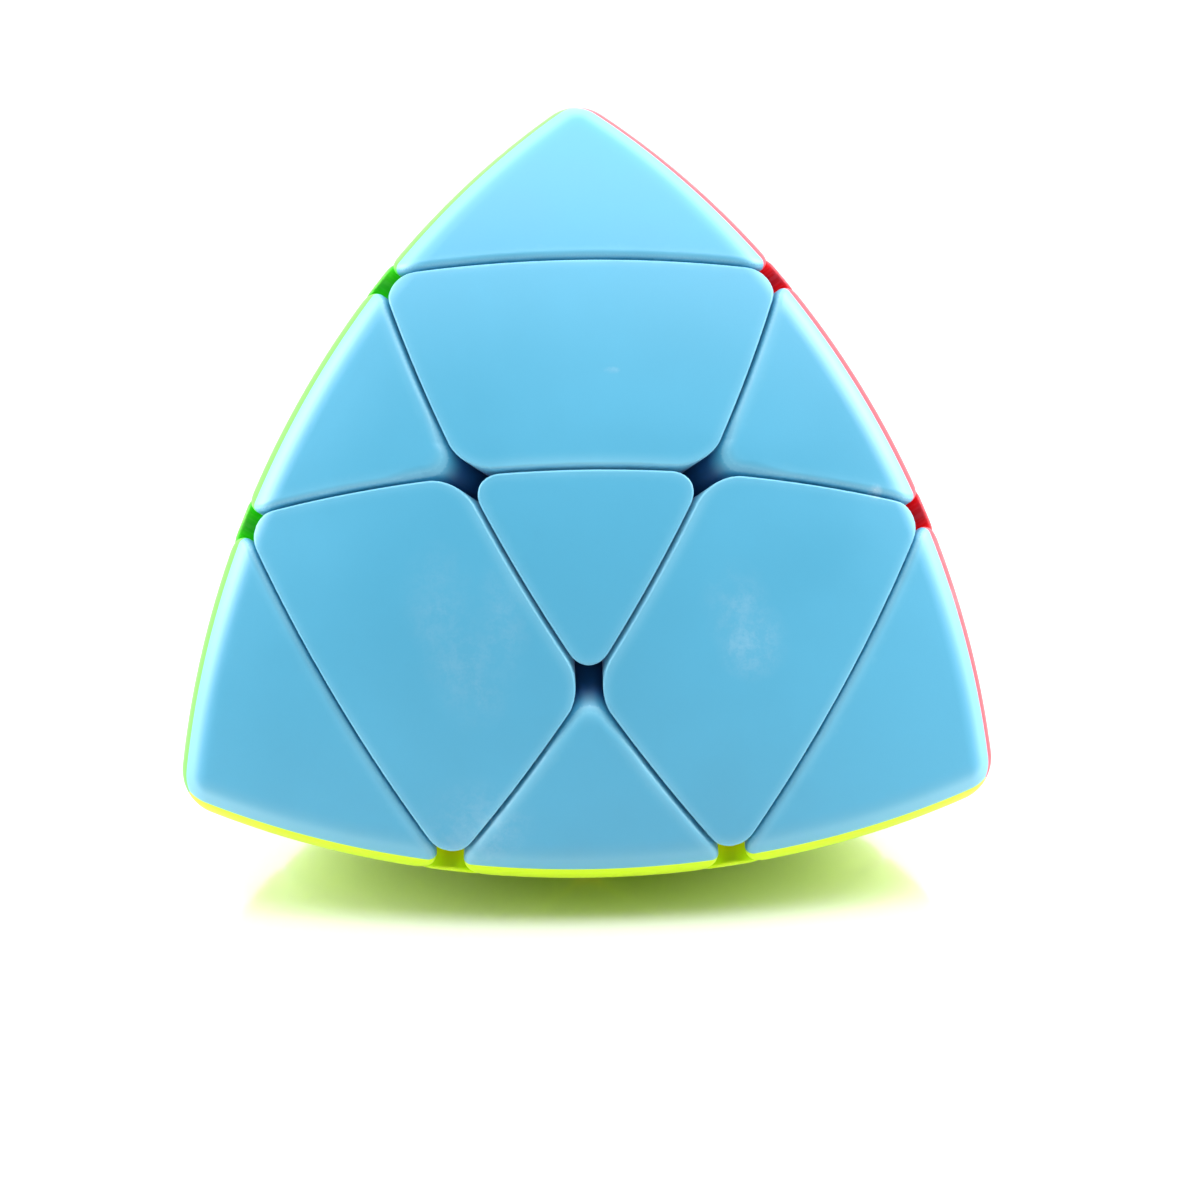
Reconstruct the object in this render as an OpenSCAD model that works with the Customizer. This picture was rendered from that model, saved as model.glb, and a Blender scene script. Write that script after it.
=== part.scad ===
/* [Overall] */
// distance from the centre of the puzzle to the middle of each bulged face, mm
face_distance = 29.3; // [29.1:0.05:29.5]
// radius of the bulge of each face, mm
face_radius = 115; // [113:0.5:118]
// radius along the six rounded long edges, mm
edge_round = 4.8; // [4.5:0.1:5.1]

/* [Cuts] */
// distance from the centre to each of the six cuts that separate the pieces, mm
cut = 10.25; // [10:0.05:10.5]
// gap on each side of a cut, mm
gap = 0.2; // [0.18:0.01:0.24]
// rounding of the upright corners of each piece, mm
corner_round = 2.8; // [2.4:0.1:3.2]
// wall of the hollow outer shells, mm
wall = 1.8; // [1.6:0.1:2]

/* [Mechanism] */
// radius of the ball surface where the outer shells sit on their feet, mm
shell_floor = 22; // [21.7:0.1:22.3]
// distance from the centre to the cuts between the feet, mm
foot_cut = 4.5; // [4.4:0.05:4.7]
// radius of the hollow in which the core sits, mm
core_room = 10.5; // [10.4:0.05:10.7]
// thickness of the floor plates under the two and three colour shells, mm
floor_plate = 1.2; // [1:0.1:1.4]
// thickness of the closed bottom of the one colour shells, mm
cap_floor = 2.5; // [2.3:0.1:2.8]
// radius of the peg that joins a four sided piece's foot to its shell, mm
peg_r = 2.4; // [2.2:0.1:2.6]
// radius of the peg that joins a triangle's foot to its shell, mm
small_peg_r = 1.5; // [1.3:0.1:1.6]

/* [Core] */
// side of the middle cube of the core, mm
core_cube = 10; // [9.4:0.1:10.4]
// radius of the six arms of the core, mm
arm_r = 3.8; // [3.6:0.1:4]
// radius of the screw shanks and of the blind holes they bite in, mm
screw_r = 1.5; // [1.4:0.05:1.55]
// radius of the screw heads, mm
head_r = 2.5; // [2.4:0.05:2.6]
// height of the screw heads, mm
head_h = 1.9; // [1.7:0.1:2]
// radius of the spring pocket in each centre piece, mm
pocket_r = 2.9; // [2.8:0.05:3]
// thickness of the pocket floor under the spring, mm
pocket_floor = 1.6; // [1.5:0.1:1.8]
// length of the spring as fitted, mm
spring_len = 5; // [4.8:0.1:5.2]
// wire radius of the spring, mm
wire_r = 0.3; // [0.28:0.01:0.32]
// thickness of the washer under the screw head, mm
washer_h = 0.6; // [0.5:0.05:0.7]

/* [Hidden] */
$fn = 160;
eps = 0.01;
big = 70;
k = face_radius - face_distance;
s2 = sqrt(2);
s3 = sqrt(3);
s6 = sqrt(6);
// unit normals of the four faces in the frame of the cuts
nb = [1, 1, 1] / s3;
ng = [-1, -1, 1] / s3;
nr = [-1, 1, -1] / s3;
ny = [1, -1, -1] / s3;
blue = [0.22, 0.66, 0.9];
green = [0.35, 0.9, 0.12];
red = [0.85, 0.1, 0.16];
yellow = [0.86, 0.9, 0.08];
navy = [0.06, 0.09, 0.2];
grey = [0.75, 0.76, 0.78];
floor_z = core_room + gap + pocket_floor;
head_z = floor_z + spring_len + washer_h;

// turns the frame of the cuts so that the yellow face is level and down
module row() {
    multmatrix([
        [0, 1 / s2, -1 / s2, 0],
        [-2 / s6, -1 / s6, -1 / s6, 0],
        [-1 / s3, 1 / s3, 1 / s3, 0],
        [0, 0, 0, 1]])
        children();
}

// rectangle with round corners
module rrect(x0, x1, y0, y1, r) {
    translate([x0 + r, y0]) square([x1 - x0 - 2 * r, y1 - y0]);
    translate([x0, y0 + r]) square([x1 - x0, y1 - y0 - 2 * r]);
    for (x = [x0 + r, x1 - r], y = [y0 + r, y1 - r]) translate([x, y]) circle(r = r);
}

// bounds of one piece along one axis of the cuts; s is -1, 0 or 1
function lo(s, c, o) = s == 0 ? -(c - o) : (s > 0 ? c + o : -big);
function hi(s, c, o) = s == 0 ? c - o : (s > 0 ? big : -(c + o));

// upright block that bounds a piece, seen along z, x and y
module block_z(a, b, c, o, r) {
    translate([0, 0, -big]) linear_extrude(height = 2 * big)
        rrect(lo(a, c, o), hi(a, c, o), lo(b, c, o), hi(b, c, o), r);
}
module block(d, c, o, r) {
    intersection() {
        block_z(d[0], d[1], c, o, r);
        rotate([90, 0, 90]) block_z(d[1], d[2], c, o, r);
        rotate([-90, -90, 0]) block_z(d[2], d[0], c, o, r);
    }
}
// the same block with sharp corners, for the feet
module plain_block(d, c, o) {
    translate([lo(d[0], c, o), lo(d[1], c, o), lo(d[2], c, o)])
        cube([hi(d[0], c, o) - lo(d[0], c, o), hi(d[1], c, o) - lo(d[1], c, o), hi(d[2], c, o) - lo(d[2], c, o)]);
}

// turns z on to the direction d
module along(d) {
    rotate([0, 0, atan2(d[1], d[0])]) rotate([0, acos(d[2] / norm(d)), 0]) children();
}

// ball with its poles square to the direction d
module ball(d, r) {
    along(d) rotate([0, 90, 0]) sphere(r = r);
}

// the bulge of one face, made smaller by o
module bulge(n, o) {
    translate(-k * n) ball(n, face_radius - o);
}

// lens between two bulges with its rounded rim: a body of revolution
// about the line through the two bulge centres
module lens_profile(o) {
    h = k * sqrt(8 / 3) / 2;
    ri = face_radius - edge_round;
    re = sqrt(ri * ri - h * h);
    intersection() {
        union() {
            difference() {
                intersection() {
                    translate([0, -h]) circle(r = face_radius - o, $fn = 360);
                    translate([0, h]) circle(r = face_radius - o, $fn = 360);
                }
                polygon([[re, 0], [re + 20 * re / ri, -20 * h / ri], [re + 20 * re / ri, 20 * h / ri]]);
            }
            translate([re, 0]) circle(r = edge_round - o);
        }
        translate([0, -2 * big]) square([2 * big, 4 * big]);
    }
}
module lens(n1, n2, o) {
    z = (n1 - n2) / norm(n1 - n2);
    x = -(n1 + n2) / norm(n1 + n2);
    y = cross(z, x);
    translate(-k * (n1 + n2) / 2) multmatrix([
        [x[0], y[0], z[0], 0],
        [x[1], y[1], z[1], 0],
        [x[2], y[2], z[2], 0],
        [0, 0, 0, 1]])
        rotate_extrude($fn = 360) lens_profile(o);
}

// half space on the n1 side of the plane midway between two faces
module half(n1, n2) {
    u = (n1 - n2) / norm(n1 - n2);
    rotate([0, 0, atan2(u[1], u[0])]) rotate([0, acos(u[2]), 0])
        translate([-2 * big, -2 * big, 0]) cube([4 * big, 4 * big, 2 * big]);
}

// solid piece above and below its floor: one face, the rim between two
// faces, or one face between two rims made as two mirrored halves
module skin(fs, d) {
    if (len(fs) == 1) intersection() {
        bulge(fs[0], 0);
        block(d, cut, gap, corner_round);
    }
    else if (len(fs) == 2) intersection() {
        lens(fs[0], fs[1], 0);
        block(d, cut, gap, corner_round);
    }
    else {
        intersection() {
            lens(fs[0], fs[1], 0);
            block(d, cut, gap, corner_round);
            half(fs[1], fs[2]);
        }
        intersection() {
            lens(fs[0], fs[2], 0);
            block(d, cut, gap, corner_round);
            half(fs[2], fs[1]);
        }
    }
}
// hollow inside a piece
module inner_bulges(fs) {
    if (len(fs) == 1) bulge(fs[0], wall);
    else if (len(fs) == 2) intersection() {
        bulge(fs[0], wall);
        bulge(fs[1], wall);
    }
    else intersection() {
        bulge(fs[0], wall);
        bulge(fs[1], wall);
        bulge(fs[2], wall);
    }
}
module hollow(fs, d, floor) {
    difference() {
        intersection() {
            inner_bulges(fs);
            plain_block(d, cut, gap + wall);
        }
        ball(d, floor);
    }
}

// part of a foot below the shells, with the neck that carries the shell
module foot_solid(d, top) {
    intersection() {
        plain_block(d, foot_cut, gap);
        ball(d, shell_floor - gap);
    }
    difference() {
        intersection() {
            block(d, cut, gap, corner_round);
            ball(d, top);
        }
        ball(d, shell_floor - gap);
    }
    intersection() {
        plain_block(d, foot_cut, gap);
        plain_block(d, cut, gap + 1.2);
        ball(d, top);
    }
}

// one colour shell, open below through the peg hole
module cap(fs, d, pr) {
    difference() {
        skin(fs, d);
        ball(d, shell_floor + gap);
        hollow(fs, d, shell_floor + gap + cap_floor);
        along(d) cylinder(r = pr + 0.05, h = shell_floor + gap + cap_floor + 2);
    }
}
// foot with its neck and peg for a one colour shell
module foot(d, pr) {
    difference() {
        union() {
            foot_solid(d, shell_floor + gap);
            along(d) translate([0, 0, shell_floor - 5]) cylinder(r = pr, h = gap + cap_floor + 6);
        }
        ball(d, core_room + gap);
    }
}

// hollow coloured shell of a two or three colour piece, one colour of it
module colour_shell(fs, d, f, others) {
    difference() {
        intersection() {
            skin(fs, d);
            half(f, others[0]);
            half(f, others[len(others) - 1]);
        }
        ball(d, shell_floor + gap + floor_plate);
        hollow(fs, d, shell_floor);
    }
}
// centre piece half with the square stalk that holds the spring
module hub_half(fs, d, f, other) {
    difference() {
        union() {
            foot_solid(d, shell_floor + gap + floor_plate);
            colour_shell(fs, d, f, [other]);
        }
        ball(d, core_room + gap);
        along(d) translate([0, 0, floor_z]) cylinder(r = pocket_r, h = 20);
        along(d) cylinder(r = screw_r + 0.2, h = 20);
    }
}
// tip shell with the foot of the tip
module foot_shell(fs, d, f, others) {
    difference() {
        union() {
            foot_solid(d, shell_floor + gap + floor_plate);
            colour_shell(fs, d, f, others);
        }
        ball(d, core_room + gap);
    }
}

axes = [[1, 0, 0], [-1, 0, 0], [0, 1, 0], [0, -1, 0], [0, 0, 1], [0, 0, -1]];

module core_spider() {
    color(grey) row() difference() {
        union() {
            cube(core_cube, center = true);
            for (a = axes) along(a) {
                cylinder(r = arm_r, h = core_room - 1.3);
                translate([0, 0, core_room - 1.3]) cylinder(r1 = arm_r, r2 = arm_r - 1.2, h = 1);
            }
        }
        for (a = axes) along(a) translate([0, 0, 4]) cylinder(r = screw_r + 0.02, h = 20);
    }
}
module tension_screws() {
    color(grey) row() for (a = axes) along(a) difference() {
        union() {
            translate([0, 0, 4.4]) cylinder(r = screw_r, h = head_z - 4.4 + eps);
            translate([0, 0, head_z]) cylinder(r = head_r, h = head_h);
        }
        for (t = [0, 90]) rotate([0, 0, t])
            translate([-1.6, -0.3, head_z + head_h - 0.9]) cube([3.2, 0.6, 2]);
    }
}
module screw_washers() {
    color(grey) row() for (a = axes) along(a) translate([0, 0, head_z - washer_h]) difference() {
        cylinder(r = head_r + 0.1, h = washer_h);
        translate([0, 0, -1]) cylinder(r = screw_r + 0.1, h = washer_h + 2);
    }
}
// level section of a coil of round wire
module wire_section() {
    n = 10;
    rc = head_r - wire_r + 0.05;
    pts = [for (i = [0 : n - 1]) let (t = 360 * i / n, w = 42 * cos(t), q = rc + wire_r * sin(t)) [q * cos(w), q * sin(w)]];
    polygon(pts);
}
module tension_springs() {
    h = spring_len - 0.05;
    color(grey) row() for (a = axes) along(a) translate([0, 0, floor_z + 0.05])
        linear_extrude(height = h, twist = -360 * 4, slices = 56, $fn = 10) wire_section();
}

// turns a piece on to another place of the same kind; m is a turn of the whole tetrahedron
module turned(m) {
    multmatrix([
        [m[0][0], m[0][1], m[0][2], 0],
        [m[1][0], m[1][1], m[1][2], 0],
        [m[2][0], m[2][1], m[2][2], 0],
        [0, 0, 0, 1]])
        children();
}

// the pieces as they lie next to the blue face
module hub_half_piece() { hub_half([nb, ng], [0, 0, 1], nb, ng); }
module plain_half_piece() { colour_shell([nb, ng], [0, 0, 1], nb, [ng]); }
module quad_cap_piece() { cap([nb, ng, nr], [0, 1, 1], peg_r); }
module quad_foot_piece() { foot([0, 1, 1], peg_r); }
module triangle_cap_piece() { cap([nb], [1, 1, 1], small_peg_r); }
module triangle_foot_piece() { foot([1, 1, 1], small_peg_r); }
module tip_foot_piece() { foot_shell([nb, ng, nr], [-1, 1, 1], nb, [ng, nr]); }
module tip_plain_piece() { colour_shell([nb, ng, nr], [-1, 1, 1], nb, [ng, nr]); }

// centre pieces: the half named first carries the stalk
module centre_blue_green_blue() { color(blue) row() turned([[1, 0, 0], [0, 1, 0], [0, 0, 1]]) hub_half_piece(); }
module centre_blue_green_green() { color(green) row() turned([[-1, 0, 0], [0, -1, 0], [0, 0, 1]]) plain_half_piece(); }
module centre_blue_red_blue() { color(blue) row() turned([[0, 1, 0], [0, 0, 1], [1, 0, 0]]) hub_half_piece(); }
module centre_blue_red_red() { color(red) row() turned([[0, -1, 0], [0, 0, 1], [-1, 0, 0]]) plain_half_piece(); }
module centre_blue_yellow_blue() { color(blue) row() turned([[0, 0, 1], [1, 0, 0], [0, 1, 0]]) hub_half_piece(); }
module centre_blue_yellow_yellow() { color(yellow) row() turned([[0, 0, 1], [-1, 0, 0], [0, -1, 0]]) plain_half_piece(); }
module centre_red_yellow_red() { color(red) row() turned([[-1, 0, 0], [0, 1, 0], [0, 0, -1]]) hub_half_piece(); }
module centre_red_yellow_yellow() { color(yellow) row() turned([[1, 0, 0], [0, -1, 0], [0, 0, -1]]) plain_half_piece(); }
module centre_green_yellow_green() { color(green) row() turned([[0, -1, 0], [0, 0, -1], [1, 0, 0]]) hub_half_piece(); }
module centre_green_yellow_yellow() { color(yellow) row() turned([[0, 1, 0], [0, 0, -1], [-1, 0, 0]]) plain_half_piece(); }
module centre_green_red_green() { color(green) row() turned([[0, 0, -1], [-1, 0, 0], [0, 1, 0]]) hub_half_piece(); }
module centre_green_red_red() { color(red) row() turned([[0, 0, -1], [1, 0, 0], [0, -1, 0]]) plain_half_piece(); }

// four sided pieces, three on each face, named by the tip they lie next to
module quad_blue_top_cap() { color(blue) row() turned([[1, 0, 0], [0, 1, 0], [0, 0, 1]]) quad_cap_piece(); }
module quad_blue_top_foot() { color(navy) row() turned([[1, 0, 0], [0, 1, 0], [0, 0, 1]]) quad_foot_piece(); }
module quad_blue_left_cap() { color(blue) row() turned([[0, 0, 1], [1, 0, 0], [0, 1, 0]]) quad_cap_piece(); }
module quad_blue_left_foot() { color(navy) row() turned([[0, 0, 1], [1, 0, 0], [0, 1, 0]]) quad_foot_piece(); }
module quad_blue_right_cap() { color(blue) row() turned([[0, 1, 0], [0, 0, 1], [1, 0, 0]]) quad_cap_piece(); }
module quad_blue_right_foot() { color(navy) row() turned([[0, 1, 0], [0, 0, 1], [1, 0, 0]]) quad_foot_piece(); }
module quad_green_top_cap() { color(green) row() turned([[0, 0, -1], [-1, 0, 0], [0, 1, 0]]) quad_cap_piece(); }
module quad_green_top_foot() { color(navy) row() turned([[0, 0, -1], [-1, 0, 0], [0, 1, 0]]) quad_foot_piece(); }
module quad_green_left_cap() { color(green) row() turned([[-1, 0, 0], [0, -1, 0], [0, 0, 1]]) quad_cap_piece(); }
module quad_green_left_foot() { color(navy) row() turned([[-1, 0, 0], [0, -1, 0], [0, 0, 1]]) quad_foot_piece(); }
module quad_green_back_cap() { color(green) row() turned([[0, -1, 0], [0, 0, -1], [1, 0, 0]]) quad_cap_piece(); }
module quad_green_back_foot() { color(navy) row() turned([[0, -1, 0], [0, 0, -1], [1, 0, 0]]) quad_foot_piece(); }
module quad_red_top_cap() { color(red) row() turned([[0, -1, 0], [0, 0, 1], [-1, 0, 0]]) quad_cap_piece(); }
module quad_red_top_foot() { color(navy) row() turned([[0, -1, 0], [0, 0, 1], [-1, 0, 0]]) quad_foot_piece(); }
module quad_red_right_cap() { color(red) row() turned([[-1, 0, 0], [0, 1, 0], [0, 0, -1]]) quad_cap_piece(); }
module quad_red_right_foot() { color(navy) row() turned([[-1, 0, 0], [0, 1, 0], [0, 0, -1]]) quad_foot_piece(); }
module quad_red_back_cap() { color(red) row() turned([[0, 0, -1], [1, 0, 0], [0, -1, 0]]) quad_cap_piece(); }
module quad_red_back_foot() { color(navy) row() turned([[0, 0, -1], [1, 0, 0], [0, -1, 0]]) quad_foot_piece(); }
module quad_yellow_left_cap() { color(yellow) row() turned([[0, 1, 0], [0, 0, -1], [-1, 0, 0]]) quad_cap_piece(); }
module quad_yellow_left_foot() { color(navy) row() turned([[0, 1, 0], [0, 0, -1], [-1, 0, 0]]) quad_foot_piece(); }
module quad_yellow_right_cap() { color(yellow) row() turned([[0, 0, 1], [-1, 0, 0], [0, -1, 0]]) quad_cap_piece(); }
module quad_yellow_right_foot() { color(navy) row() turned([[0, 0, 1], [-1, 0, 0], [0, -1, 0]]) quad_foot_piece(); }
module quad_yellow_back_cap() { color(yellow) row() turned([[1, 0, 0], [0, -1, 0], [0, 0, -1]]) quad_cap_piece(); }
module quad_yellow_back_foot() { color(navy) row() turned([[1, 0, 0], [0, -1, 0], [0, 0, -1]]) quad_foot_piece(); }

// triangles in the middle of each face
module triangle_blue_cap() { color(blue) row() turned([[1, 0, 0], [0, 1, 0], [0, 0, 1]]) triangle_cap_piece(); }
module triangle_blue_foot() { color(navy) row() turned([[1, 0, 0], [0, 1, 0], [0, 0, 1]]) triangle_foot_piece(); }
module triangle_green_cap() { color(green) row() turned([[-1, 0, 0], [0, -1, 0], [0, 0, 1]]) triangle_cap_piece(); }
module triangle_green_foot() { color(navy) row() turned([[-1, 0, 0], [0, -1, 0], [0, 0, 1]]) triangle_foot_piece(); }
module triangle_red_cap() { color(red) row() turned([[-1, 0, 0], [0, 1, 0], [0, 0, -1]]) triangle_cap_piece(); }
module triangle_red_foot() { color(navy) row() turned([[-1, 0, 0], [0, 1, 0], [0, 0, -1]]) triangle_foot_piece(); }
module triangle_yellow_cap() { color(yellow) row() turned([[1, 0, 0], [0, -1, 0], [0, 0, -1]]) triangle_cap_piece(); }
module triangle_yellow_foot() { color(navy) row() turned([[1, 0, 0], [0, -1, 0], [0, 0, -1]]) triangle_foot_piece(); }

// tips: the shell named first carries the foot
module tip_top_blue() { color(blue) row() turned([[1, 0, 0], [0, 1, 0], [0, 0, 1]]) tip_foot_piece(); }
module tip_top_green() { color(green) row() turned([[0, 0, -1], [-1, 0, 0], [0, 1, 0]]) tip_plain_piece(); }
module tip_top_red() { color(red) row() turned([[0, -1, 0], [0, 0, 1], [-1, 0, 0]]) tip_plain_piece(); }
module tip_left_blue() { color(blue) row() turned([[0, 0, 1], [1, 0, 0], [0, 1, 0]]) tip_foot_piece(); }
module tip_left_green() { color(green) row() turned([[-1, 0, 0], [0, -1, 0], [0, 0, 1]]) tip_plain_piece(); }
module tip_left_yellow() { color(yellow) row() turned([[0, 1, 0], [0, 0, -1], [-1, 0, 0]]) tip_plain_piece(); }
module tip_right_blue() { color(blue) row() turned([[0, 1, 0], [0, 0, 1], [1, 0, 0]]) tip_foot_piece(); }
module tip_right_red() { color(red) row() turned([[-1, 0, 0], [0, 1, 0], [0, 0, -1]]) tip_plain_piece(); }
module tip_right_yellow() { color(yellow) row() turned([[0, 0, 1], [-1, 0, 0], [0, -1, 0]]) tip_plain_piece(); }
module tip_back_green() { color(green) row() turned([[0, -1, 0], [0, 0, -1], [1, 0, 0]]) tip_foot_piece(); }
module tip_back_red() { color(red) row() turned([[0, 0, -1], [1, 0, 0], [0, -1, 0]]) tip_plain_piece(); }
module tip_back_yellow() { color(yellow) row() turned([[1, 0, 0], [0, -1, 0], [0, 0, -1]]) tip_plain_piece(); }

core_spider();
tension_screws();
tension_springs();
screw_washers();
centre_blue_green_blue();
centre_blue_green_green();
centre_blue_red_blue();
centre_blue_red_red();
centre_blue_yellow_blue();
centre_blue_yellow_yellow();
centre_red_yellow_red();
centre_red_yellow_yellow();
centre_green_yellow_green();
centre_green_yellow_yellow();
centre_green_red_green();
centre_green_red_red();
quad_blue_top_cap();
quad_blue_top_foot();
quad_blue_left_cap();
quad_blue_left_foot();
quad_blue_right_cap();
quad_blue_right_foot();
quad_green_top_cap();
quad_green_top_foot();
quad_green_left_cap();
quad_green_left_foot();
quad_green_back_cap();
quad_green_back_foot();
quad_red_top_cap();
quad_red_top_foot();
quad_red_right_cap();
quad_red_right_foot();
quad_red_back_cap();
quad_red_back_foot();
quad_yellow_left_cap();
quad_yellow_left_foot();
quad_yellow_right_cap();
quad_yellow_right_foot();
quad_yellow_back_cap();
quad_yellow_back_foot();
triangle_blue_cap();
triangle_blue_foot();
triangle_green_cap();
triangle_green_foot();
triangle_red_cap();
triangle_red_foot();
triangle_yellow_cap();
triangle_yellow_foot();
tip_top_blue();
tip_top_green();
tip_top_red();
tip_left_blue();
tip_left_green();
tip_left_yellow();
tip_right_blue();
tip_right_red();
tip_right_yellow();
tip_back_green();
tip_back_red();
tip_back_yellow();
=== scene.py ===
import itertools
import math

import bmesh
import bpy
import numpy as np
from mathutils import Matrix, Vector


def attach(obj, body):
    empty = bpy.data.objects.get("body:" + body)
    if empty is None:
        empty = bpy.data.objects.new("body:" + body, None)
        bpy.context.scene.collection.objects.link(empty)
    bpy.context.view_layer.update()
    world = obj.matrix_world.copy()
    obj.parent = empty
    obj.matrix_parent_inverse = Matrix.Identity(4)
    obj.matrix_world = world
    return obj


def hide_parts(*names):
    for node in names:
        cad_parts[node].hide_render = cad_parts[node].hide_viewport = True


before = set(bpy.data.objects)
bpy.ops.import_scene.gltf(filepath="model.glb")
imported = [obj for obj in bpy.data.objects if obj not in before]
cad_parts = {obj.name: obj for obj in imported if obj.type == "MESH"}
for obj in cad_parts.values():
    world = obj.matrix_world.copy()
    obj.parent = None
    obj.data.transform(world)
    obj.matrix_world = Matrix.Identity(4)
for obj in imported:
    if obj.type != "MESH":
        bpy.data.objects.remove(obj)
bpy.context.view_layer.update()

# ---------------------------------------------------------------- sizes, mm
FACE_D, FACE_R, EDGE_R = 29.3, 115.0, 4.8
CUT, GAP, CORNER_R = 10.25, 0.2, 2.8
SKIN_GAP = 0.17        # each side of a cut between the outer shells
FLOOR_R, FOOT_CUT, CORE_ROOM = 22.0, 4.5, 10.5
SLIDE = 0.12                                             # room between a neck and the feet that pass below it
PLATE, CAP_FLOOR = 1.2, 2.5
PEG_R, SMALL_PEG_R = 2.4, 1.5
POCKET_R, SCREW_R, POCKET_Z = 2.9, 1.5, 12.3
TILE_RIM, BLOCK_RIM = 0.26, 0.85   # rounding round a crisp tile and round a soft two- or three-colour block
K = FACE_R - FACE_D
RI = FACE_R - EDGE_R

N = {"blue": (1, 1, 1), "green": (-1, -1, 1), "red": (-1, 1, -1), "yellow": (1, -1, -1)}
TIP = {"top": (-1, 1, 1), "left": (1, -1, 1), "right": (1, 1, -1), "back": (-1, -1, -1)}
TIP_FACES = {"top": ("blue", "green", "red"), "left": ("blue", "green", "yellow"),
             "right": ("blue", "red", "yellow"), "back": ("green", "red", "yellow")}
S2, S3, S6 = math.sqrt(2), math.sqrt(3), math.sqrt(6)
ROW = np.array([[0, 1 / S2, -1 / S2], [-2 / S6, -1 / S6, -1 / S6], [-1 / S3, 1 / S3, 1 / S3]])


def unit(v):
    v = np.asarray(v, float)
    return v / np.linalg.norm(v)


CENTRES = {f: -K * unit(N[f]) for f in N}


# ------------------------------------------------------- signed distances
def body_distance(P, faces):
    """Distance to the rounded tetrahedron near these faces: inner balls grown by the edge radius."""
    c = [CENTRES[f] for f in faces]
    d = [np.linalg.norm(P - x, axis=-1) for x in c]
    m = np.max([x - RI for x in d], axis=0)
    if len(c) == 1:
        return m - EDGE_R
    best = np.full(P.shape[:-1], 1e9)

    def inside(q, skip):
        ok = np.ones(q.shape[:-1], bool)
        for i, x in enumerate(c):
            if i not in skip:
                ok &= np.linalg.norm(q - x, axis=-1) <= RI + 1e-6
        return ok

    for i, x in enumerate(c):
        q = x + (P - x) * (RI / np.maximum(d[i], 1e-9))[..., None]
        ok = inside(q, (i,))
        best = np.where(ok, np.minimum(best, np.abs(d[i] - RI)), best)
    for i, j in itertools.combinations(range(len(c)), 2):
        mid = (c[i] + c[j]) / 2
        ax = unit(c[i] - c[j])
        re = math.sqrt(RI * RI - np.dot(c[i] - c[j], c[i] - c[j]) / 4)
        w = P - mid
        w = w - (w @ ax)[..., None] * ax
        q = mid + w * (re / np.maximum(np.linalg.norm(w, axis=-1), 1e-9))[..., None]
        ok = inside(q, (i, j))
        best = np.where(ok, np.minimum(best, np.linalg.norm(P - q, axis=-1)), best)
    if len(c) == 3:
        v = unit(-sum(unit(N[f]) for f in set(N) - set(faces)))
        s = -K / 3 + math.sqrt(RI * RI - 8 * K * K / 9)
        best = np.minimum(best, np.linalg.norm(P - v * s, axis=-1))
    return np.where(m > 0, best - EDGE_R, m - EDGE_R)


def block_distance(P, d, cut, off, r):
    """Upright block between the cuts with its upright corners rounded."""
    q = []
    for a in range(3):
        if d[a] == 0:
            q.append(np.abs(P[..., a]) - (cut - off))
        else:
            q.append((cut + off) - d[a] * P[..., a])
    q = np.stack(q, -1) + r
    return np.linalg.norm(np.maximum(q, 0), axis=-1) + np.minimum(q.max(-1), 0) - r


def round_join(a, b, cosine, r):
    """Rounded intersection of two distances whose surfaces meet with this cosine between normals."""
    a, b = a + r, b + r
    s2 = np.maximum(1 - cosine ** 2, 1e-3)
    both = (a - b * cosine > 0) & (b - a * cosine > 0)
    v = np.sqrt(np.maximum(a * a + b * b - 2 * a * b * cosine, 0) / s2)
    return np.where(both, v, np.maximum(a, b)) - r


def gradient(fn, P, e=0.02):
    g = np.empty(P.shape)
    for a in range(3):
        h = np.zeros(3)
        h[a] = e
        g[..., a] = (fn(P + h) - fn(P - h)) / (2 * e)
    return g


def normals_of(fn, P):
    g = gradient(fn, P)
    return g / np.maximum(np.linalg.norm(g, axis=-1), 1e-6)[..., None]


def shell(P, faces, d, floor, rim):
    outer = lambda Q: body_distance(Q, faces)
    block = lambda Q: block_distance(Q, d, CUT, SKIN_GAP, CORNER_R)
    cosine = np.einsum("...i,...i->...", normals_of(outer, P), normals_of(block, P))
    v = round_join(outer(P), block(P), np.clip(cosine, -0.97, 0.97), rim)
    f = floor - np.linalg.norm(P, axis=-1)
    return round_join(v, f, np.zeros_like(v), 0.25)


def bore(P, d, r, top):
    a = P @ unit(d)
    rad = np.linalg.norm(P - a[..., None] * unit(d), axis=-1)
    return np.maximum(rad - r, a - top)


def quad_cap(P):
    v = shell(P, ("blue", "green", "red"), (0, 1, 1), FLOOR_R + GAP, TILE_RIM)
    return np.maximum(v, -bore(P, (0, 1, 1), PEG_R + 0.06, FLOOR_R + GAP + CAP_FLOOR + 1.6))


def triangle_cap(P):
    v = shell(P, ("blue",), (1, 1, 1), FLOOR_R + GAP, TILE_RIM)
    return np.maximum(v, -bore(P, (1, 1, 1), SMALL_PEG_R + 0.06, FLOOR_R + GAP + CAP_FLOOR + 1.6))


def centre_cap(P):
    c = CUT - GAP
    to_tip = np.minimum(np.hypot(P[..., 0] - c, P[..., 1] - c), np.hypot(P[..., 0] + c, P[..., 1] + c))
    w = np.clip(1 - to_tip / 7.0, 0, 1)
    v = shell(P, ("blue", "green"), (0, 0, 1), FLOOR_R + GAP + PLATE, BLOCK_RIM + 2.2 * w * w * (3 - 2 * w))
    return np.maximum(v, -bore(P, (0, 0, 1), POCKET_R, FLOOR_R + 4))


def tip_cap(P):
    return shell(P, ("blue", "green", "red"), (-1, 1, 1), FLOOR_R + GAP + PLATE, BLOCK_RIM)


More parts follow.
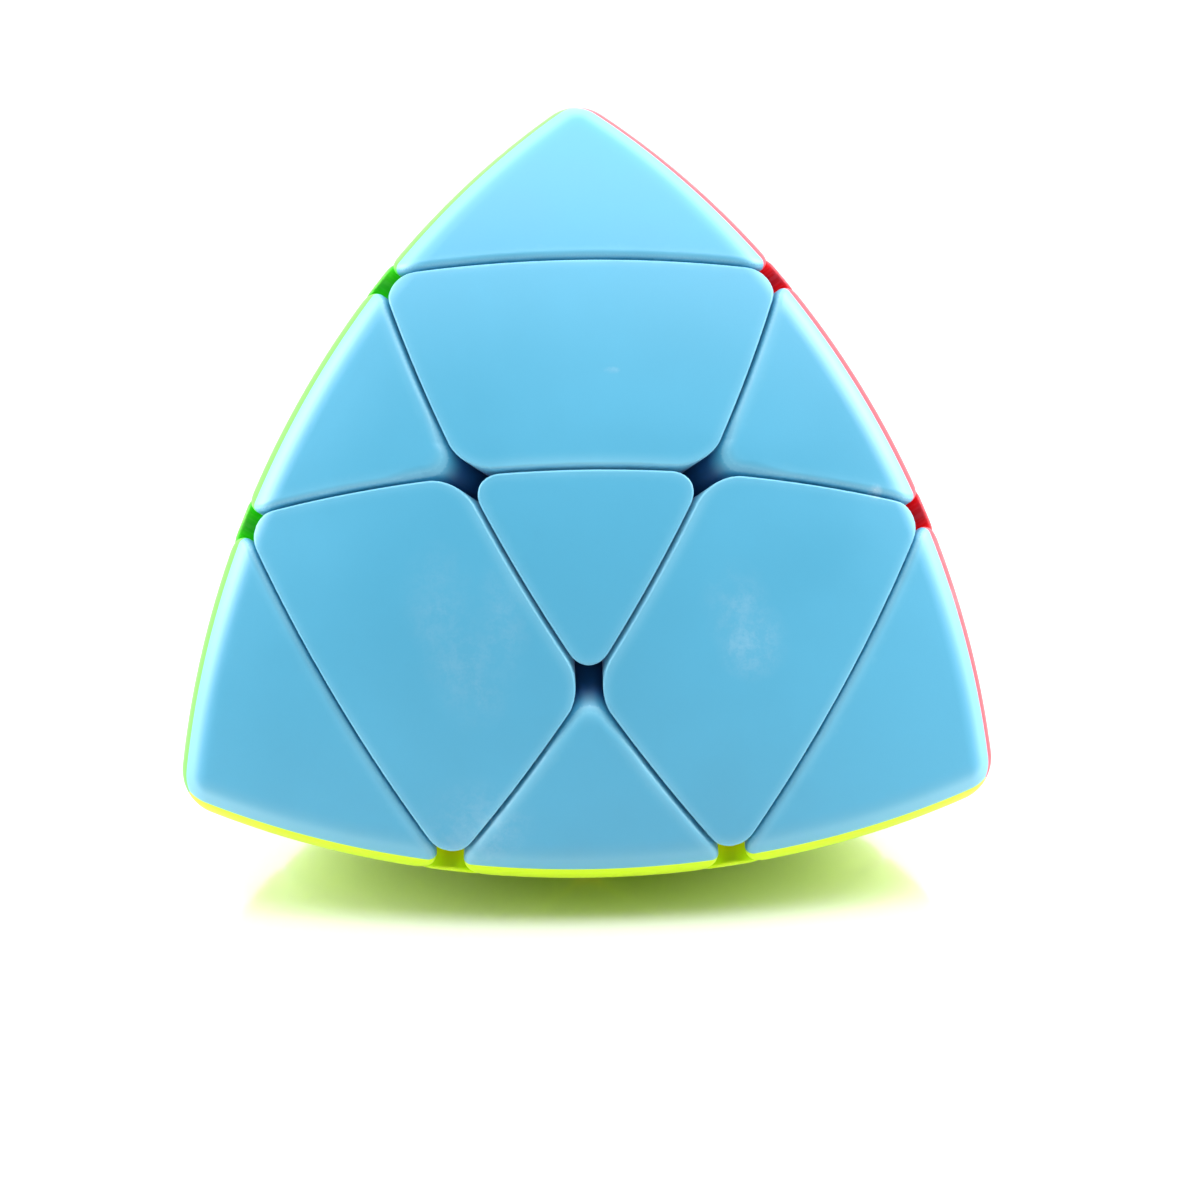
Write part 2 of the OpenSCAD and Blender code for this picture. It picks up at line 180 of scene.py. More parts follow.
def foot(P, d, top):
    r = np.linalg.norm(P, axis=-1)
    low = np.maximum(block_distance(P, d, FOOT_CUT, GAP, 0.4), r - (FLOOR_R - GAP - SLIDE))
    neck = np.maximum(np.maximum(block_distance(P, d, CUT, GAP, CORNER_R), r - top), (FLOOR_R - GAP + SLIDE) - r)
    link = np.maximum(np.maximum(block_distance(P, d, FOOT_CUT, GAP, 0.4),
                                 block_distance(P, d, CUT, GAP, CORNER_R)), r - top)
    v = np.minimum(np.minimum(low, neck), link)
    return np.maximum(v, (CORE_ROOM + GAP) - r)


def stalk(P):
    bite = 0.35 * (P[..., 0] + P[..., 1] > 0.4)          # runs into its own shell, never into the other one
    v = foot(P, (0, 0, 1), FLOOR_R + GAP + PLATE + bite)
    rad = np.hypot(P[..., 0], P[..., 1])
    v = np.maximum(v, -np.maximum(rad - POCKET_R, POCKET_Z - P[..., 2]))
    return np.maximum(v, -(rad - (SCREW_R + 0.2)))


def tip_foot(P):
    bite = 0.35 * ((P[..., 0] + P[..., 1] > 0.4) & (P[..., 0] + P[..., 2] > 0.4))
    return foot(P, (-1, 1, 1), FLOOR_R + GAP + PLATE + bite)


# ------------------------------------------------------------ mesh making
def surface(fn, lo, hi, h):
    """Closed quad mesh of fn = 0: one vertex per crossed cell, then moved on to the surface."""
    lo, hi = np.array(lo, float), np.array(hi, float)
    n = np.ceil((hi - lo) / h).astype(int) + 1
    ax = [lo[i] + h * np.arange(n[i]) for i in range(3)]
    # a coarse look first, then the fine grid only near the surface
    step = 4
    cx = [a[::step] for a in ax]
    X, Y, Z = np.meshgrid(*[a + 0.5 * (step - 1) * h for a in cx], indexing="ij")
    Fc = fn(np.stack([X, Y, Z], -1))
    F = np.repeat(np.repeat(np.repeat(Fc, step, 0), step, 1), step, 2)[:n[0], :n[1], :n[2]].copy()
    near = np.argwhere(np.abs(F) < 1.25 * step * h)
    for i in range(0, len(near), 400000):
        k = near[i:i + 400000]
        F[tuple(k.T)] = fn(lo + k * h)
    acc = np.zeros(tuple(n - 1) + (3,))
    cnt = np.zeros(tuple(n - 1))
    quads = []
    for a in range(3):
        b, c = (a + 1) % 3, (a + 2) % 3
        s0 = [slice(None)] * 3
        s1 = [slice(None)] * 3
        s0[a] = slice(0, n[a] - 1)
        s1[a] = slice(1, n[a])
        f0, f1 = F[tuple(s0)], F[tuple(s1)]
        idx = np.argwhere((f0 < 0) != (f1 < 0))
        keep = (idx[:, b] > 0) & (idx[:, c] > 0) & (idx[:, b] < n[b] - 1) & (idx[:, c] < n[c] - 1)
        idx = idx[keep]
        v0, v1 = f0[tuple(idx.T)], f1[tuple(idx.T)]
        t = v0 / (v0 - v1)
        p = lo + idx * h
        p[:, a] += t * h
        cells = []
        for db, dc in ((1, 1), (0, 1), (0, 0), (1, 0)):
            q = idx.copy()
            q[:, b] -= db
            q[:, c] -= dc
            cells.append(q)
            np.add.at(acc, tuple(q.T), p)
            np.add.at(cnt, tuple(q.T), 1)
        up = v0 < 0
        for k, q in enumerate(cells):
            cells[k] = np.ravel_multi_index(tuple(q.T), tuple(n - 1))
        Q = np.stack(cells, 1)
        Q[~up] = Q[~up][:, ::-1]
        quads.append(Q)
    Q = np.vstack(quads)
    used, inv = np.unique(Q, return_inverse=True)
    V = (acc.reshape(-1, 3)[used] / cnt.reshape(-1)[used][:, None])
    Q = inv.reshape(Q.shape)
    for _ in range(3):
        f = fn(V)
        g = gradient(fn, V)
        step = f[:, None] * g / np.maximum((g ** 2).sum(1), 0.25)[:, None]
        L = np.linalg.norm(step, axis=1)
        V = V - step * np.minimum(1, 0.4 * h / np.maximum(L, 1e-9))[:, None]
    return V, Q


def mesh_from(name, V, faces):
    me = bpy.data.meshes.new(name)
    me.from_pydata([tuple(v) for v in V], [], [tuple(int(i) for i in f) for f in faces])
    me.validate()
    me.update()
    return me


def evaluated(me, mods):
    """The mesh after these modifiers, as a new mesh."""
    o = bpy.data.objects.new("tmp_mod", me)
    bpy.context.scene.collection.objects.link(o)
    for kind, props in mods:
        m = o.modifiers.new(kind, kind)
        for k, v in props.items():
            setattr(m, k, v)
    dg = bpy.context.evaluated_depsgraph_get()
    out = bpy.data.meshes.new_from_object(o.evaluated_get(dg))
    bpy.data.objects.remove(o)
    return out


def cut_by(me, planes):
    """Keeps the part of the mesh on the plus side of each plane through the centre, with the cut closed flat."""
    bm = bmesh.new()
    bm.from_mesh(me)
    for n in planes:
        geo = bm.verts[:] + bm.edges[:] + bm.faces[:]
        bmesh.ops.bisect_plane(bm, geom=geo, plane_co=(0, 0, 0), plane_no=tuple(unit(n)),
                               clear_inner=True, dist=1e-4)
        rim = [e for e in bm.edges if len(e.link_faces) == 1]
        made = bmesh.ops.edgenet_fill(bm, edges=rim)
        bmesh.ops.recalc_face_normals(bm, faces=bm.faces[:])
    bmesh.ops.triangulate(bm, faces=[f for f in bm.faces if len(f.verts) > 4])
    out = bpy.data.meshes.new(me.name + "_cut")
    bm.to_mesh(out)
    bm.free()
    return out


H = 0.22
RATIO = 0.22


def refine(me, fn, flats=()):
    """Puts the vertices back on fn = 0 except on flat cuts."""
    V = np.array([v.co for v in me.vertices])
    free = np.ones(len(V), bool)
    for n in flats:
        free &= np.abs(V @ unit(n)) > 2e-3
    for _ in range(2):
        f = fn(V)
        g = gradient(fn, V)
        step = f[:, None] * g / np.maximum((g ** 2).sum(1), 0.25)[:, None]
        L = np.linalg.norm(step, axis=1)
        step *= np.minimum(1, 0.1 / np.maximum(L, 1e-9))[:, None]
        V[free] -= step[free]
    me.vertices.foreach_set("co", V.reshape(-1).astype(np.float32))
    me.update()
    return me


def closed(me):
    """Merges away the few pinched edges, so that every edge has two faces."""
    bm = bmesh.new()
    bm.from_mesh(me)
    for _ in range(8):
        bad = [e for e in bm.edges if len(e.link_faces) != 2]
        if not bad:
            break
        short = [e for e in bad if e.calc_length() < 0.6]
        if short:
            bmesh.ops.collapse(bm, edges=short)
        bmesh.ops.dissolve_degenerate(bm, dist=2e-4, edges=bm.edges[:])
        loose = [e for e in bm.edges if not e.link_faces]
        bmesh.ops.delete(bm, geom=loose, context="EDGES")
        seen, twins = set(), []
        for f in bm.faces:
            k = frozenset(v.index for v in f.verts)
            if k in seen:
                twins.append(f)
            seen.add(k)
        if twins:
            bmesh.ops.delete(bm, geom=twins, context="FACES_ONLY")
        rim = [e for e in bm.edges if len(e.link_faces) == 1]
        if rim:
            bmesh.ops.holes_fill(bm, edges=rim, sides=12)
        bm.verts.index_update()
    bmesh.ops.triangulate(bm, faces=[f for f in bm.faces if len(f.verts) > 4])
    bmesh.ops.recalc_face_normals(bm, faces=bm.faces[:])
    bm.to_mesh(me)
    bm.free()
    me.update()
    return me


def base_mesh(name, fn, lo, hi, coarse=1.0):
    V, Q = surface(fn, lo, hi, H * coarse)
    me = mesh_from(name, V, Q)
    me = evaluated(me, [("DECIMATE", {"ratio": RATIO, "use_collapse_triangulate": True})])
    me.name = name
    return refine(closed(me), fn)


def smooth_normals(me, fn, flats=()):
    """Shading normals from the distance field, flat across the cuts and across sharp inner corners."""
    V = np.array([v.co for v in me.vertices])
    nv = normals_of(fn, V)
    loops = np.empty((len(me.loops), 3))
    for p in me.polygons:
        fnm = np.array(p.normal)
        for li in p.loop_indices:
            vi = me.loops[li].vertex_index
            n = nv[vi]
            if n @ fnm < 0.80:
                n = fnm
            loops[li] = n
    me.polygons.foreach_set("use_smooth", [True] * len(me.polygons))
    me.normals_split_custom_set([tuple(x) for x in loops])
    return me


BASE = {}
BASE["quad"] = smooth_normals(base_mesh("quad", quad_cap, (-11, 9.6, 9.6), (11, 42, 42)), quad_cap)
BASE["triangle"] = smooth_normals(base_mesh("triangle", triangle_cap, (9.6, 9.6, 9.6), (32, 32, 32)), triangle_cap)
centre = base_mesh("centre", centre_cap, (-11, -11, 18), (11, 11, 44))
BASE["half"] = smooth_normals(cut_by(centre, [(1, 1, 0)]), centre_cap)
tip = base_mesh("tip", tip_cap, (-40, 9.6, 9.6), (-9.6, 40, 40))
BASE["sector"] = smooth_normals(cut_by(tip, [(1, 1, 0), (1, 0, 1)]), tip_cap)
BASE["stalk"] = smooth_normals(base_mesh("stalk", stalk, (-11, -11, 9), (11, 11, 25), 1.4), stalk)
BASE["tip_foot"] = smooth_normals(base_mesh("tip_foot", tip_foot, (-25, 4, 4), (-4, 25, 25), 1.4), tip_foot)


def joined(a, b, name):
    """One closed solid out of two that overlap."""
    oa, ob = bpy.data.objects.new("join_a", a), bpy.data.objects.new("join_b", b)
    for o in (oa, ob):
        bpy.context.scene.collection.objects.link(o)
    m = oa.modifiers.new("join", "BOOLEAN")
    m.operation, m.solver, m.object = "UNION", "EXACT", ob
    dg = bpy.context.evaluated_depsgraph_get()
    out = bpy.data.meshes.new_from_object(oa.evaluated_get(dg))
    out.name = name
    out = evaluated(out, [("WELD", {"merge_threshold": 1e-3})])
    bpy.data.objects.remove(oa)
    bpy.data.objects.remove(ob)
    return out


BASE["hub"] = joined(BASE["half"], BASE.pop("stalk"), "hub")
BASE["tip_hub"] = joined(BASE["sector"], BASE.pop("tip_foot"), "tip_hub")
BASE_FIELD = {"quad": ((0, 1, 1), ("blue", "green", "red")), "triangle": ((1, 1, 1), ("blue",)),
              "half": ((0, 0, 1), ("blue", "green")), "hub": ((0, 0, 1), ("blue", "green")),
              "sector": ((-1, 1, 1), ("blue", "green", "red")), "tip_hub": ((-1, 1, 1), ("blue", "green", "red"))}
ATTRS = ("rim", "deep", "edge")
for key, me in BASE.items():
    V = np.array([v.co for v in me.vertices])
    d, faces = BASE_FIELD[key]
    b = block_distance(V, d, CUT, GAP, CORNER_R)
    out = body_distance(V, faces)
    dist = np.max([np.linalg.norm(V - CENTRES[f], axis=-1) - FACE_R for f in faces], axis=0)
    # masks for the material: rim places the painted highlight on tile borders, edge the painted sheen on rounded outer
    # edges, deep the wall colour, the painted shade and the painted emission down the sides
    values = {"rim": np.clip(1 + b / 1.1, 0, 1) ** 1.5 * (out > -0.5),
              "deep": np.clip(-out / 10.0, 0, 1),
              "edge": np.clip(-dist / 0.99, 0, 1) * (out > -0.2)}
    for a in ATTRS:
        at = me.attributes.new(a, "FLOAT", "POINT")
        at.data.foreach_set("value", values[a].astype(np.float32))
for k, me in BASE.items():
    print("base", k, len(me.vertices), "vertices", len(me.polygons), "faces")


# ---------------------------------------------------------- assembling
def rotations():
    """The twelve turns of the tetrahedron."""
    out = []
    for p in itertools.permutations(range(3)):
        for s in itertools.product((1, -1), repeat=3):
            m = np.zeros((3, 3))
            for i in range(3):
                m[i, p[i]] = s[i]
            if np.linalg.det(m) > 0 and all(
                    any(np.allclose(m @ np.array(a), b) for b in N.values()) for a in N.values()):
                out.append(m)
    return out


TURNS = rotations()


def turn_for(*pairs):
    for m in TURNS:
        if all(np.allclose(m @ np.array(a, float), b) for a, b in pairs):
            return m
    raise ValueError("no turn")


def placed(name, key, m, body, node, material):
    """One piece made of base meshes, turned to its place, in metres, in the row frame."""
    T = ROW @ m * 0.001
    R = ROW @ m
    src = BASE[key]
    co = np.empty(len(src.vertices) * 3)
    src.vertices.foreach_get("co", co)
    me = src.copy()
    me.name = name
    me.vertices.foreach_set("co", (co.reshape(-1, 3) @ T.T).reshape(-1).astype(np.float32))
    ln = np.array([c.vector for c in src.corner_normals]) @ R.T
    me.update()
    me.normals_split_custom_set([tuple(x) for x in ln])
    me.materials.clear()
    me.materials.append(material)
    ob = bpy.data.objects.new(name, me)
    bpy.context.scene.collection.objects.link(ob)
    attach(ob, body)
    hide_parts(node)
    return ob


# ---------------------------------------------------------- materials
def srgb(r, g, b):
    f = lambda c: c / 12.92 if c <= 0.04045 else ((c + 0.055) / 1.055) ** 2.4
    return (f(r / 255), f(g / 255), f(b / 255), 1.0)


class Nodes:
    def __init__(self, name):
        self.m = bpy.data.materials.new(name)
        self.m.use_nodes = True
        self.t = self.m.node_tree
        self.t.nodes.clear()
        self.out = self.add("ShaderNodeOutputMaterial")
        self.p = self.add("ShaderNodeBsdfPrincipled")
        self.link(self.p.outputs[0], self.out.inputs["Surface"])
        self.co = self.add("ShaderNodeTexCoord").outputs["Object"]

    def add(self, kind, **props):
        n = self.t.nodes.new(kind)
        for k, v in props.items():
            setattr(n, k, v)
        return n

    def link(self, a, b):
        self.t.links.new(a, b)

    def noise(self, scale, detail=3.0, rough=0.55, distortion=0.0, offset=(0, 0, 0), stretch=(1, 1, 1)):
        mp = self.add("ShaderNodeMapping")
        mp.inputs["Location"].default_value = offset
        mp.inputs["Scale"].default_value = stretch
        self.link(self.co, mp.inputs["Vector"])
        n = self.add("ShaderNodeTexNoise")
        n.inputs["Scale"].default_value = scale
        n.inputs["Detail"].default_value = detail
        n.inputs["Roughness"].default_value = rough
        n.inputs["Distortion"].default_value = distortion
        self.link(mp.outputs[0], n.inputs["Vector"])
        return n.outputs["Fac"]

    def ramp(self, value, a, b, lo=0.0, hi=1.0, smooth=True):
        n = self.add("ShaderNodeMapRange")
        n.interpolation_type = "SMOOTHSTEP" if smooth else "LINEAR"
        self.link(value, n.inputs["Value"])
        n.inputs["From Min"].default_value = a
        n.inputs["From Max"].default_value = b
        n.inputs["To Min"].default_value = lo
        n.inputs["To Max"].default_value = hi
        return n.outputs["Result"]

    def math(self, op, a, b=None):
        n = self.add("ShaderNodeMath", operation=op)
        for i, v in enumerate((a, b)):
            if v is None:
                continue
            if isinstance(v, (int, float)):
                n.inputs[i].default_value = v
            else:
                self.link(v, n.inputs[i])
        return n.outputs[0]

    def mix(self, fac, a, b, blend="MIX"):
        n = self.add("ShaderNodeMix", data_type="RGBA", blend_type=blend)
        for s, v in ((n.inputs["Factor"], fac), (n.inputs[6], a), (n.inputs[7], b)):
            if isinstance(v, (int, float)):
                s.default_value = v
            elif isinstance(v, tuple):
                s.default_value = v
            else:
                self.link(v, s)
        return n.outputs[2]

    def bump(self, height, strength, distance, normal=None):
        n = self.add("ShaderNodeBump")
        n.inputs["Strength"].default_value = strength
        n.inputs["Distance"].default_value = distance
        self.link(height, n.inputs["Height"])
        if normal is not None:
            self.link(normal, n.inputs["Normal"])
        return n.outputs[0]


def moulded(name, colour, pale, wall, seed, marks=(), painted_deep_shade=(0.28, 0.75, 0.8), gloss=0.9, painted_emission=(0.0, 0.0)):
    """Frosted moulded plastic: fine grain, faint cloudiness, a painted highlight along the tile rims, a painted sheen
    on the rounded outer edges (weaker low down), the wall colour down the sides (for blue a deep navy: painted shade
    in the gaps), painted shade deep in gaps and holes, a painted emission for the bright plastics, a few dusty
    smudges, specks and hairline scratches."""
    n = Nodes(name)
    o = (seed * 0.013, seed * 0.021, seed * 0.017)
    cloud = n.noise(34, 3, 0.6, 0.3, o)
    base = n.mix(n.ramp(cloud, 0.32, 0.70), tuple(c * 0.93 for c in colour[:3]) + (1,), colour)
    rim = n.add("ShaderNodeAttribute", attribute_name="rim").outputs["Fac"]
    edge = n.add("ShaderNodeAttribute", attribute_name="edge").outputs["Fac"]
    deep = n.add("ShaderNodeAttribute", attribute_name="deep").outputs["Fac"]
    # painted sheen: the rounded outer edges are mixed towards the pale colour, less so along the lower edges, in place
    # of the side lights' grazing reflection
    up = n.add("ShaderNodeSeparateXYZ")
    n.link(n.co, up.inputs[0])
    painted_edge_sheen = n.math("MULTIPLY", n.ramp(edge, 0.02, 0.45), n.ramp(up.outputs[2], -0.025, -0.012, 0.3, 1.0))
    base = n.mix(n.math("MULTIPLY", painted_edge_sheen, PAINTED_EDGE_SHEEN), base, pale)
    # painted highlight: a thin pale line along every tile border, mottled by the cloud noise; the same mask also
    # lowers the roughness there
    painted_rim_highlight = n.math("MULTIPLY", rim, n.ramp(cloud, 0.3, 0.7, 0.12, 0.34))
    base = n.mix(painted_rim_highlight, base, pale)
    # the side walls take the wall colour; blue's is a deep navy, painted shade in the narrow gaps, while the bright
    # plastics keep a strong colour of their own there
    base = n.mix(n.ramp(deep, 0.03, 0.20), base, wall)
    # painted shade: deep down in gaps and holes the colour goes nearly black
    base = n.mix(n.ramp(deep, painted_deep_shade[0], painted_deep_shade[1], 0, painted_deep_shade[2]), base, tuple(c * 0.04 for c in wall[:2]) + (wall[2] * 0.2 + 0.01, 1))
    # dusty smudges at a few set places
    dust = n.noise(640, 5, 0.78, 0.1, o)
    drift = n.noise(120, 3, 0.6, 0.2, o)
    sm = 0.0
    for (x, y, z), (wide, high), amount in marks:
        mp = n.add("ShaderNodeMapping", vector_type="TEXTURE")
        mp.inputs["Location"].default_value = (x * 0.001, y * 0.001, z * 0.001)
        mp.inputs["Rotation"].default_value = (-0.34, 0.0, 0.0)
        mp.inputs["Scale"].default_value = (wide * 0.001, 0.004, high * 0.001)
        n.link(n.co, mp.inputs["Vector"])
        c = n.add("ShaderNodeVectorMath", operation="LENGTH")
        n.link(mp.outputs[0], c.inputs[0])
        patch = n.math("MULTIPLY", n.ramp(c.outputs["Value"], 1.0, 0.0, 0, amount, False), n.ramp(drift, 0.30, 0.72, 0.25, 1.0))
        sm = patch if isinstance(sm, float) else n.math("MAXIMUM", sm, patch)
    patch = n.ramp(n.noise(21, 1, 0.5, 0.5, (o[1], o[2], o[0])), 0.64, 0.82, 0, 0.25)
    sm = patch if isinstance(sm, float) else n.math("MAXIMUM", sm, patch)
    sm = n.math("MULTIPLY", sm, n.ramp(dust, 0.36, 0.70, 0.12, 1.0))
    base = n.mix(sm, base, (0.78, 0.90, 0.96, 1))
    vor = n.add("ShaderNodeTexVoronoi")
    vor.inputs["Scale"].default_value = 120
    n.link(n.co, vor.inputs["Vector"])
    pick = n.add("ShaderNodeSeparateColor")
    n.link(vor.outputs["Color"], pick.inputs[0])
    speck = n.math("MULTIPLY", n.ramp(vor.outputs["Distance"], 0.045, 0.02, 0, 0.55),
                   n.math("GREATER_THAN", pick.outputs[0], 0.972))
    base = n.mix(speck, base, tuple(c * 0.3 for c in colour[:3]) + (1,))
    n.link(base, n.p.inputs["Base Color"])
    # painted emission: the bright plastics give off a little light in their own colour, most on the side walls,
    # standing in for light let into the translucent plastic
    if painted_emission[1] > 0:
        n.link(base, n.p.inputs["Emission Color"])
        n.link(n.ramp(deep, 0.03, 0.2, painted_emission[0], painted_emission[1]), n.p.inputs["Emission Strength"])
    rough = n.ramp(cloud, 0.3, 0.7, 0.42, 0.50)
    rough = n.math("ADD", rough, n.math("MULTIPLY", sm, 0.3))
    n.link(n.math("SUBTRACT", rough, n.math("MULTIPLY", painted_rim_highlight, 0.2)), n.p.inputs["Roughness"])
    scratch = n.noise(700, 1, 0.5, 0.4, o, (1, 0.06, 1))
    b1 = n.bump(cloud, 0.12, 0.00015)
    b2 = n.bump(n.ramp(scratch, 0.70, 0.74), 0.08, 0.00002, b1)
    b3 = n.bump(n.noise(4600, 2, 0.6, 0, o), 0.22, 0.00002, b2)
    n.link(b3, n.p.inputs["Normal"])
    n.p.inputs["IOR"].default_value = 1.49
    n.p.inputs["Specular IOR Level"].default_value = gloss
    n.p.inputs["Sheen Weight"].default_value = 0.12
    n.p.inputs["Sheen Roughness"].default_value = 0.45
    return n.m


# strength of the painted sheen on the rounded outer edges
PAINTED_EDGE_SHEEN = 0.38
MARKS = [((-15.0, -28.4, 4.2), (4.5, 6.5), 0.17), ((-12.0, -30.5, -2.1), (5.5, 7.5), 0.15), ((-9.0, -29.8, 1.8), (3.5, 8.0), 0.14),
         ((15.0, -28.7, 3.3), (4.0, 5.0), 0.22), ((16.7, -29.5, -0.3), (4.2, 4.5), 0.28), ((2.9, -20.3, 26.2), (1.0, 0.45), 0.55),
         ((30.0, -22.1, 13.4), (0.9, 1.0), 0.75)]
# blue's wall colour srgb(4, 84, 142) is painted shade in the gaps. For the bright plastics the tuple after the empty
# marks sets their painted deep shade and the last tuple their painted emission
BLUE = moulded("frosted_blue", srgb(72, 170, 207), srgb(172, 232, 248), srgb(4, 84, 142), 1, MARKS)
GREEN = moulded("frosted_green", srgb(74, 230, 30), srgb(160, 255, 110), srgb(60, 250, 20), 2, (), (0.55, 1.0, 0.65), 0.6, (0.0, 0.09))
RED = moulded("frosted_red", srgb(240, 14, 32), srgb(255, 110, 130), srgb(255, 8, 16), 3, (), (0.55, 1.0, 0.65), 0.6, (0.0, 0.09))
YELLOW = moulded("frosted_yellow", srgb(216, 255, 3), srgb(228, 255, 40), srgb(236, 240, 1), 4, (), (0.6, 1.0, 0.6), 0.35, (0.06, 0.13))
COLOURS = {"blue": BLUE, "green": GREEN, "red": RED, "yellow": YELLOW}


def inner_plastic(name, colour, seed, rough=0.42):
    n = Nodes(name)
    o = (seed * 0.02, 0, seed * 0.011)
    flow = n.noise(70, 4, 0.6, 0.8, o)
    n.link(n.mix(n.ramp(flow, 0.3, 0.7), tuple(c * 0.75 for c in colour[:3]) + (1,), colour), n.p.inputs["Base Color"])
    n.link(n.ramp(flow, 0.3, 0.7, rough, rough + 0.12), n.p.inputs["Roughness"])
    n.link(n.bump(n.noise(3200, 3, 0.6, 0, o), 0.3, 0.00002), n.p.inputs["Normal"])
    return n.m


def metal(name, colour, rough, seed, lines=(1, 1, 1)):
    n = Nodes(name)
    o = (seed * 0.01, seed * 0.02, 0)
    c = n.noise(900, 4, 0.6, 0, o, lines)
    n.link(n.mix(n.ramp(c, 0.35, 0.7), tuple(x * 0.8 for x in colour[:3]) + (1,), colour), n.p.inputs["Base Color"])
    n.link(n.ramp(c, 0.3, 0.7, rough, rough + 0.15), n.p.inputs["Roughness"])
    n.link(n.bump(n.noise(4000, 2, 0.5, 0, o, lines), 0.25, 0.00001), n.p.inputs["Normal"])
    n.p.inputs["Metallic"].default_value = 1.0
    return n.m


FOOT = inner_plastic("navy_foot_plastic", srgb(18, 36, 92), 5)
CORE = inner_plastic("grey_core_plastic", srgb(205, 207, 210), 6)
ZINC = metal("zinc_steel", (0.62, 0.61, 0.58, 1), 0.25, 7)
WIRE = metal("spring_steel", (0.45, 0.45, 0.47, 1), 0.3, 8, (1, 1, 6))

PAIRS = [("blue", "green"), ("blue", "red"), ("blue", "yellow"), ("red", "yellow"), ("green", "yellow"), ("green", "red")]
for a, b in PAIRS:
    d = (np.array(N[a]) + np.array(N[b])) / 2
    body = f"centre_{a}_{b}"
    for i, (x, y) in enumerate(((a, b), (b, a))):
        m = turn_for(((0, 0, 1), d), (N["blue"], N[x]))
        placed(f"{body}_{x}_shell", "hub" if i == 0 else "half", m, body, f"{body}_{x}", COLOURS[x])
for f in N:
    for v in TIP:
        if f in TIP_FACES[v]:
            m = turn_for((N["blue"], N[f]), (TIP["top"], TIP[v]))
            body = f"quad_{f}_{v}"
            placed(f"{body}_shell", "quad", m, body, f"{body}_cap", COLOURS[f])
    m = turn_for((N["blue"], N[f]))
    placed(f"triangle_{f}_shell", "triangle", m, f"triangle_{f}", f"triangle_{f}_cap", COLOURS[f])
for v in TIP:
    for i, x in enumerate(TIP_FACES[v]):
        m = turn_for((N["blue"], N[x]), (TIP["top"], TIP[v]))
        placed(f"tip_{v}_{x}_shell", "tip_hub" if i == 0 else "sector", m, f"tip_{v}", f"tip_{v}_{x}", COLOURS[x])

for name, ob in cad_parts.items():
    if ob.hide_render:
        continue
    mat = FOOT if name.endswith("_foot") else CORE if name == "core_spider" else WIRE if "spring" in name else ZINC
    for s in ob.material_slots:
        s.material = mat
    bv = ob.modifiers.new("edge", "BEVEL")
    bv.width = 0.00015
    bv.segments = 2
    bv.limit_method = "ANGLE"
    bv.angle_limit = math.radians(35)
    if "spring" in name:
        ob.modifiers.remove(bv)

# ---------------------------------------------------------- stage
FLOOR_Z = -FACE_D * 0.001


def backdrop():
    """White sweep: level floor that curves up behind the object."""
    prof = [(-4.0, 0.0)] + [(0.9 + 0.5 * math.sin(t), 0.5 - 0.5 * math.cos(t)) for t in np.linspace(0, math.pi / 2, 24)] + [(1.4, 2.2)]
    bm = bmesh.new()
    rows = []
    for x in (-3.5, 3.5):
        rows.append([bm.verts.new((x, y, z + FLOOR_Z)) for y, z in prof])
    for i in range(len(prof) - 1):
        bm.faces.new((rows[0][i], rows[1][i], rows[1][i + 1], rows[0][i + 1]))
    me = bpy.data.meshes.new("sweep")
    bm.to_mesh(me)
    bm.free()
    me.polygons.foreach_set("use_smooth", [True] * len(me.polygons))
    n = Nodes("white_sweep")
    c = n.noise(3, 3, 0.5)
    n.link(n.mix(n.ramp(c, 0.3, 0.7), (0.78, 0.78, 0.778, 1), (0.80, 0.80, 0.80, 1)), n.p.inputs["Base Color"])
    n.link(n.ramp(c, 0.3, 0.7, 0.12, 0.16), n.p.inputs["Roughness"])
    n.p.inputs["Specular IOR Level"].default_value = 1.0
    n.p.inputs["Coat Weight"].default_value = 0.6
    n.p.inputs["Coat Roughness"].default_value = 0.1
    me.materials.append(n.m)
    ob = bpy.data.objects.new("sweep", me)
    bpy.context.scene.collection.objects.link(ob)


backdrop()


def area(name, loc, target, size, power, colour=(1, 1, 1)):
    l = bpy.data.lights.new(name, "AREA")
    l.shape = "RECTANGLE"
    l.size, l.size_y = size
    l.energy = power
    l.color = colour
    o = bpy.data.objects.new(name, l)
    bpy.context.scene.collection.objects.link(o)
    o.location = loc
    d = Vector(target) - Vector(loc)
    o.rotation_euler = d.to_track_quat("-Z", "Y").to_euler()
    return o


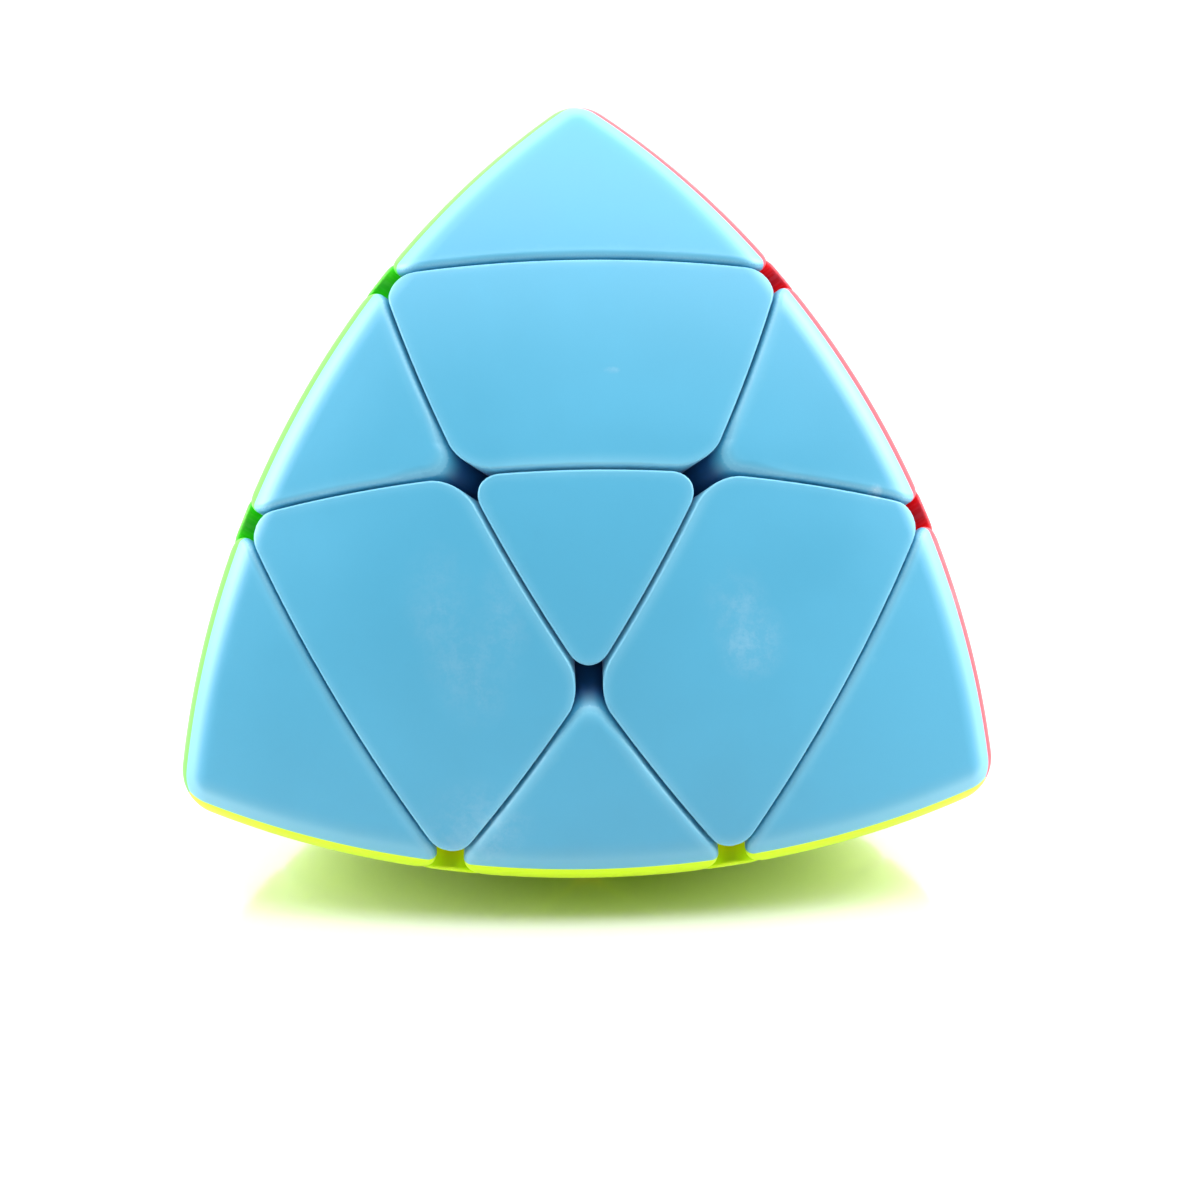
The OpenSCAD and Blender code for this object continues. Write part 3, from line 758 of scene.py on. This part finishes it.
area("key_top", (-0.03, -0.17, 0.82), (0, 0, 0.01), (1.0, 0.5), 5.9)
area("left_soft", (-0.62, 0.0, 0.31), (0, 0, 0.0), (0.5, 0.5), 6.0)
area("right_soft", (0.61, 0.0, 0.38), (0, 0, 0.0), (0.5, 0.6), 7.4)
area("low_front", (0.0, -1.0, 0.10), (0, 0, -0.01), (1.2, 0.25), 0.6)
area("sweep_light", (0.0, 0.45, 1.1), (0, 1.35, 0.35), (2.4, 0.5), 26)

w = bpy.data.worlds.new("studio")
bpy.context.scene.world = w
w.use_nodes = True
bg = w.node_tree.nodes["Background"]
bg.inputs["Color"].default_value = (1, 1, 1, 1)
bg.inputs["Strength"].default_value = 0.12
bpy.context.scene.view_settings.view_transform = "Standard"

# ---------------------------------------------------------- camera
FOCAL_PX = 3000.0
POS = (-6.71, -33.64, 332.27)
YAW, PITCH, ROLL = (math.radians(v) for v in (1.327, 5.248, -1.061))
n_ = np.array([1, 1, 1]) / S3
eu = np.array([-2, 1, 1]) / S6
er = np.array([0, 1, -1]) / S2
C = POS[0] * er + POS[1] * eu + POS[2] * n_
right, up, fwd = er.copy(), eu.copy(), -n_
right, fwd = math.cos(YAW) * right - math.sin(YAW) * fwd, math.sin(YAW) * right + math.cos(YAW) * fwd
up, fwd = math.cos(PITCH) * up - math.sin(PITCH) * fwd, math.sin(PITCH) * up + math.cos(PITCH) * fwd
right, up = math.cos(ROLL) * right + math.sin(ROLL) * up, -math.sin(ROLL) * right + math.cos(ROLL) * up
cam = bpy.data.cameras.new("camera")
cam.sensor_fit = "HORIZONTAL"
cam.sensor_width = 36.0
cam.lens = FOCAL_PX / 1182 * 36.0
cam.clip_start = 0.01
co = bpy.data.objects.new("camera", cam)
bpy.context.scene.collection.objects.link(co)
R = np.stack([ROW @ right, ROW @ up, ROW @ -fwd], 1)
M4 = Matrix([[*R[0], 0], [*R[1], 0], [*R[2], 0], [0, 0, 0, 1]])
M4.translation = Vector(ROW @ C * 0.001)
co.matrix_world = M4
bpy.context.scene.camera = co
